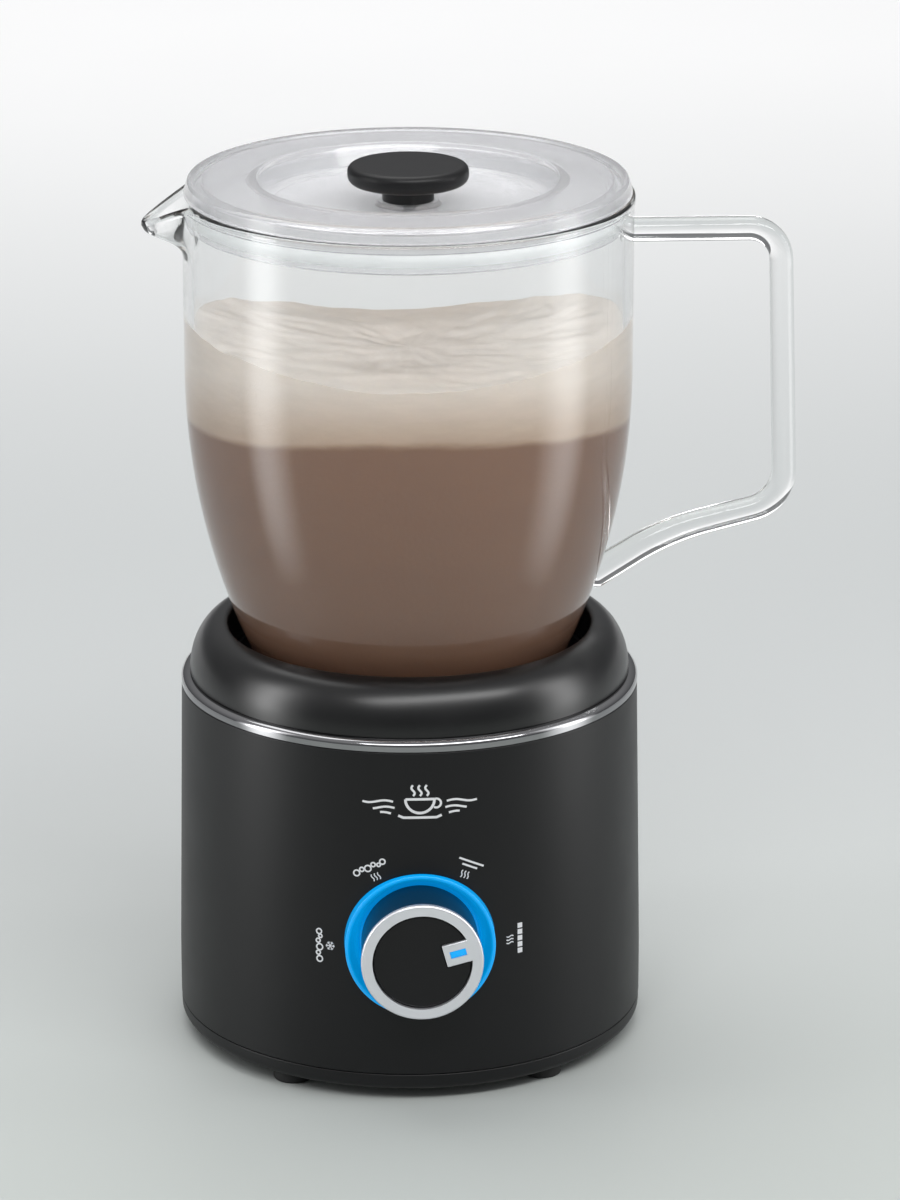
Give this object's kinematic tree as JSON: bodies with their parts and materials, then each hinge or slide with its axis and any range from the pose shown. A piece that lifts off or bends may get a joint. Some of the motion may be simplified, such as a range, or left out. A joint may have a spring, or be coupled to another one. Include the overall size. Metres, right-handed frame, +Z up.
{
  "type": "milk frother",
  "caption": "Heated milk frother: round black base with a dial, clear lift-off jug with handle and spout, lid with knob, magnetic whisk.",
  "frame": {"origin": "point on the surface that the feet stand on, on the axis of the jug and the base", "axes": "+Z up along the jug's axis, -Y towards the user and the dial, +X towards the jug's handle, -X towards its spout"},
  "size_m": [0.1835, 0.1458, 0.2534],
  "materials": {
    "satin_black": "satin black moulded plastic",
    "rubber_black": "matt black rubber",
    "chrome": "bright chrome plating",
    "clear_plastic": "clear copolyester",
    "white_silicone": "translucent silicone",
    "blue_plastic": "glossy blue, lit from behind",
    "milky_plastic": "diffusing light guide",
    "steel": "stainless steel",
    "grey_plastic": "grey structural plastic",
    "ivory_plastic": "natural nylon",
    "copper": "enamelled copper wire",
    "bronze": "sintered bronze",
    "iron": "ferrite and laminated iron",
    "board_green": "glass epoxy circuit board",
    "aluminium": "extruded aluminium",
    "mica": "mica sheet",
    "blue_sleeve": "dark blue heat-shrink sleeve"
  },
  "bodies": {
    "base": {"housing": "satin_black", "top_collar": "satin_black", "chrome_ring": "chrome", "jug_well": "satin_black", "well_gasket": "rubber_black", "base_cover": "satin_black", "feet": "rubber_black", "base_screws": "steel", "coil_carrier": "grey_plastic", "carrier_screws": "steel", "induction_coil": "copper", "mica_sheet": "mica", "ferrite_bars": "iron", "sensor_guide": "grey_plastic", "sensor_spring": "steel", "motor_bracket": "steel", "bracket_screws": "steel", "motor_can": "steel", "motor_end_cap": "satin_black", "stator_magnets": "iron", "motor_bushes": "bronze", "motor_screws": "steel", "main_board": "board_green", "board_screws": "steel", "heat_sink": "aluminium", "capacitors": "blue_sleeve", "choke": "copper", "relay": "blue_sleeve", "power_inlet": "satin_black", "inlet_pins": "chrome", "blue_bezel": "blue_plastic", "light_ring": "milky_plastic", "dial_frame": "grey_plastic", "frame_screws": "steel", "front_board": "board_green", "dial_leds": "milky_plastic", "dial_encoder": "grey_plastic"},
    "sensor": {"sensor_cap": "steel"},
    "drive": {"motor_shaft": "steel", "rotor": "iron", "drive_hub": "ivory_plastic", "drive_magnets": "chrome"},
    "dial": {"dial_knob": "chrome", "dial_shaft": "steel", "pointer_window": "blue_plastic"},
    "button": {"start_button": "satin_black"},
    "jug": {"jug_body": "clear_plastic", "jug_handle": "clear_plastic", "jug_foot": "steel", "jug_seal": "white_silicone", "whisk_pin": "steel"},
    "whisk": {"whisk_hub": "satin_black", "whisk_disc": "satin_black", "whisk_coil": "steel", "whisk_magnets": "chrome"},
    "lid": {"lid_plate": "clear_plastic", "lid_seal": "white_silicone", "lid_knob": "rubber_black", "lid_screw": "steel"}
  },
  "joints": [
    {"name": "sensor_press", "type": "slide", "parent": "base", "child": "sensor", "axis": [0, 0, -1], "range_m": [0, 0.0015], "stiffness_N_per_m": 150, "deforming": ["sensor_spring"]},
    {"name": "drive_spin", "type": "hinge", "parent": "base", "child": "drive", "pos_m": [0, 0, 0.06], "axis": [0, 0, 1], "continuous": true},
    {"name": "dial_turn", "type": "hinge", "parent": "base", "child": "dial", "pos_m": [0, -0.0675, 0.0473], "axis": [0, -1, 0], "range_deg": [-21, 171]},
    {"name": "button_press", "type": "slide", "parent": "dial", "child": "button", "axis": [0, 1, 0], "range_m": [0, 0.001], "stiffness_N_per_m": 800},
    {"name": "jug_lift", "type": "slide", "parent": "base", "child": "jug", "axis": [0, 0, 1], "range_m": [0, 0.06]},
    {"name": "whisk_spin", "type": "hinge", "parent": "jug", "child": "whisk", "pos_m": [0, 0, 0.1], "axis": [0, 0, 1], "continuous": true},
    {"name": "lid_lift", "type": "slide", "parent": "jug", "child": "lid", "axis": [0, 0, 1], "range_m": [0, 0.04]}
  ],
  "couplings": [
    {"joint": "whisk_spin", "follows": "drive_spin", "ratio": 1}
  ]
}
